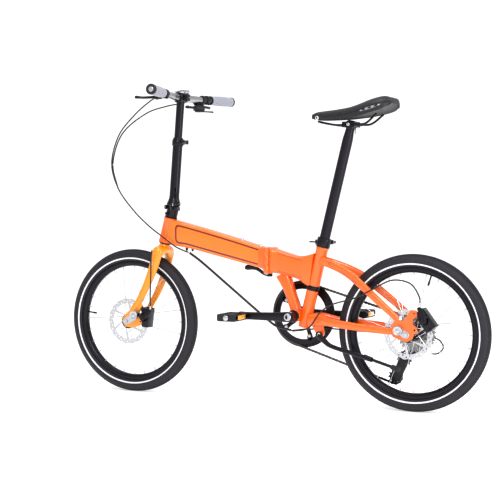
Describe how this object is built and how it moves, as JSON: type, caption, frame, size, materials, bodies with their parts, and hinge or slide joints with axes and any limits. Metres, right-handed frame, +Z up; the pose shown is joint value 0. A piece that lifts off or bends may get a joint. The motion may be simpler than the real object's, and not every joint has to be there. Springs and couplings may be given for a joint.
{
  "type": "folding bicycle",
  "caption": "Orange small-wheeled folding bicycle with disc brakes, derailleur gears, telescopic handlepost and hinged main tube.",
  "frame": {"origin": "on the ground under the middle of the bicycle, in its centre plane, midway between the two wheel centres along X", "axes": "+Z up, -X the riding direction, -Y the bicycle's left side"},
  "size_m": [1.524, 0.5846, 1.0484],
  "materials": {
    "frame_orange": "gloss",
    "fork_amber": "gloss",
    "black_metal": "satin",
    "black_plastic": "matte",
    "steel": "brushed",
    "silver_alloy": "polished",
    "tyre_rubber": "matte",
    "grip_rubber": "matte",
    "saddle_cover": "satin",
    "cable_housing": "satin"
  },
  "bodies": {
    "rear_frame": {"rear_box_tube": "frame_orange", "seat_tube": "frame_orange", "strut_and_bottom_bracket": "frame_orange", "chainstay_left": "frame_orange", "chainstay_right": "frame_orange", "seatstay_left": "frame_orange", "seatstay_right": "frame_orange", "rear_axle": "steel", "seat_clamp": "black_metal", "rear_caliper": "black_metal", "chain": "steel", "derailleur": "black_metal", "cable_rear": "cable_housing", "cable_span": "cable_housing"},
    "seat_lever": {"seat_clamp_lever": "black_metal"},
    "seat_assembly": {"seatpost": "black_metal", "saddle_rails": "black_metal", "saddle": "saddle_cover"},
    "rear_brake_arm": {"rear_brake_arm": "black_metal"},
    "rear_wheel": {"rear_tyre": "tyre_rubber", "rear_rim": "black_metal", "rear_spokes": "steel", "rear_hub": "black_metal", "rear_rotor": "steel"},
    "cassette": {"cassette": "steel"},
    "crankset": {"crank_left": "black_metal", "crank_right": "black_metal", "chainring": "black_metal"},
    "pedal_left": {"pedal_left": "black_plastic"},
    "pedal_right": {"pedal_right": "black_plastic"},
    "guide_pulley": {"guide_pulley": "black_plastic"},
    "tension_pulley": {"tension_pulley": "black_plastic"},
    "kickstand": {"kickstand": "black_metal"},
    "front_frame": {"front_frame": "frame_orange", "cable_loop": "cable_housing"},
    "frame_latch": {"frame_latch_lever": "black_metal"},
    "fork": {"fork": "fork_amber", "front_caliper": "black_metal", "handlepost_base": "black_metal", "cable_fork": "cable_housing"},
    "front_brake_arm": {"front_brake_arm": "black_metal"},
    "front_wheel": {"front_tyre": "tyre_rubber", "front_rim": "black_metal", "front_spokes": "steel", "front_hub": "black_metal", "front_rotor": "steel"},
    "handlepost": {"handlepost_lower": "black_metal"},
    "post_latch": {"handlepost_latch_lever": "black_metal"},
    "telescope_lever": {"telescope_clamp_lever": "black_metal"},
    "handlepost_upper": {"handlepost_upper": "black_metal"},
    "bar_lever": {"bar_clamp_lever": "black_metal"},
    "handlebar": {"handlebar": "silver_alloy", "grip_left": "grip_rubber", "grip_right": "grip_rubber", "brake_bracket_left": "black_plastic", "brake_bracket_right": "black_plastic", "gear_shifter": "black_plastic"},
    "brake_lever_left": {"brake_lever_left": "black_plastic"},
    "brake_lever_right": {"brake_lever_right": "black_plastic"},
    "shift_lever": {"shift_lever": "black_plastic"}
  },
  "joints": [
    {"name": "frame_fold", "type": "hinge", "parent": "rear_frame", "child": "front_frame", "pos_m": [0.017, -0.037, 0.471], "axis": [0, 0, -1], "range_deg": [-167.5, 0], "deforming": ["cable_span"]},
    {"name": "frame_latch_turn", "type": "hinge", "parent": "front_frame", "child": "frame_latch", "pos_m": [-0.004, 0.035, 0.44], "axis": [0, 0, 1], "range_deg": [-160, 0]},
    {"name": "steering", "type": "hinge", "parent": "front_frame", "child": "fork", "pos_m": [-0.386, 0, 0.525], "axis": [0.2588, 0, 0.9659], "range_deg": [-180, 180], "deforming": ["cable_loop"]},
    {"name": "front_wheel_spin", "type": "hinge", "parent": "fork", "child": "front_wheel", "pos_m": [-0.512, 0, 0.25], "axis": [0, 1, 0], "continuous": true},
    {"name": "front_brake_arm_turn", "type": "hinge", "parent": "fork", "child": "front_brake_arm", "pos_m": [-0.431, -0.08, 0.268], "axis": [0, 1, 0], "range_deg": [0, 24]},
    {"name": "handlepost_fold", "type": "hinge", "parent": "fork", "child": "handlepost", "pos_m": [-0.3723, 0.0198, 0.648], "axis": [-0.7071, -0.7071, 0], "range_deg": [0, 150], "deforming": ["cable_loop"]},
    {"name": "handlepost_latch_turn", "type": "hinge", "parent": "handlepost", "child": "post_latch", "pos_m": [-0.32916, -0.02334, 0.656], "axis": [0.7071, 0.7071, 0], "range_deg": [0, 110]},
    {"name": "telescope", "type": "slide", "parent": "handlepost", "child": "handlepost_upper", "axis": [0.0802, 0, 0.9968], "range_m": [-0.11, 0.03], "deforming": ["cable_loop"]},
    {"name": "telescope_lever_turn", "type": "hinge", "parent": "handlepost", "child": "telescope_lever", "pos_m": [-0.31262, 0.024, 0.87028], "axis": [0, 0, -1], "range_deg": [0, 160]},
    {"name": "bar_roll", "type": "hinge", "parent": "handlepost_upper", "child": "handlebar", "pos_m": [-0.3224, 0, 1.022], "axis": [0, 1, 0], "range_deg": [-20, 20], "deforming": ["cable_loop"]},
    {"name": "bar_clamp_lever_turn", "type": "hinge", "parent": "handlepost_upper", "child": "bar_lever", "pos_m": [-0.2994, 0, 1.0414], "axis": [0, 1, 0], "range_deg": [0, 150]},
    {"name": "brake_lever_left_pull", "type": "hinge", "parent": "handlebar", "child": "brake_lever_left", "pos_m": [-0.33737, -0.138, 1.01472], "axis": [0, 0, 1], "range_deg": [0, 20], "stiffness_Nm_per_rad": 1.2, "springref_deg": -5.73},
    {"name": "brake_lever_right_pull", "type": "hinge", "parent": "handlebar", "child": "brake_lever_right", "pos_m": [-0.33737, 0.138, 1.01472], "axis": [0, 0, -1], "range_deg": [0, 20], "stiffness_Nm_per_rad": 1.2, "springref_deg": -5.73},
    {"name": "shift_lever_push", "type": "hinge", "parent": "handlebar", "child": "shift_lever", "pos_m": [-0.31986, 0.128, 0.99335], "axis": [0, 0, 1], "range_deg": [0, 30], "stiffness_Nm_per_rad": 0.3, "springref_deg": -5.73},
    {"name": "seatpost_slide", "type": "slide", "parent": "rear_frame", "child": "seat_assembly", "axis": [0.2419, 0, 0.9703], "range_m": [-0.3, 0.04]},
    {"name": "seat_lever_turn", "type": "hinge", "parent": "rear_frame", "child": "seat_lever", "pos_m": [0.17475, 0.022, 0.53274], "axis": [0, 0, 1], "range_deg": [-160, 0]},
    {"name": "rear_brake_arm_turn", "type": "hinge", "parent": "rear_frame", "child": "rear_brake_arm", "pos_m": [0.574, -0.09, 0.298], "axis": [0, 1, 0], "range_deg": [0, 24]},
    {"name": "rear_wheel_spin", "type": "hinge", "parent": "rear_frame", "child": "rear_wheel", "pos_m": [0.512, 0, 0.25], "axis": [0, 1, 0], "continuous": true},
    {"name": "crank_spin", "type": "hinge", "parent": "rear_frame", "child": "crankset", "pos_m": [0.114, 0, 0.291], "axis": [0, -1, 0], "continuous": true},
    {"name": "cassette_spin", "type": "hinge", "parent": "rear_frame", "child": "cassette", "pos_m": [0.512, 0, 0.25], "axis": [0, -1, 0], "continuous": true},
    {"name": "guide_pulley_spin", "type": "hinge", "parent": "rear_frame", "child": "guide_pulley", "pos_m": [0.47, 0.046, 0.16], "axis": [0, -1, 0], "continuous": true},
    {"name": "tension_pulley_spin", "type": "hinge", "parent": "rear_frame", "child": "tension_pulley", "pos_m": [0.436, 0.046, 0.101], "axis": [0, -1, 0], "continuous": true},
    {"name": "pedal_left_spin", "type": "hinge", "parent": "crankset", "child": "pedal_left", "pos_m": [-0.056, -0.1, 0.291], "axis": [0, 1, 0], "continuous": true},
    {"name": "pedal_right_spin", "type": "hinge", "parent": "crankset", "child": "pedal_right", "pos_m": [0.284, 0.1, 0.291], "axis": [0, 1, 0], "continuous": true},
    {"name": "kickstand_swing", "type": "hinge", "parent": "rear_frame", "child": "kickstand", "pos_m": [0.202, -0.03, 0.233], "axis": [-0.309, 0.9421, -0.13], "range_deg": [0, 93]}
  ],
  "couplings": [
    {"joint": "front_brake_arm_turn", "follows": "brake_lever_left_pull", "ratio": 1.2},
    {"joint": "rear_brake_arm_turn", "follows": "brake_lever_right_pull", "ratio": 1.2},
    {"joint": "cassette_spin", "follows": "crank_spin", "ratio": 3.0588},
    {"joint": "guide_pulley_spin", "follows": "crank_spin", "ratio": -4.7273},
    {"joint": "tension_pulley_spin", "follows": "crank_spin", "ratio": 4.7273}
  ]
}
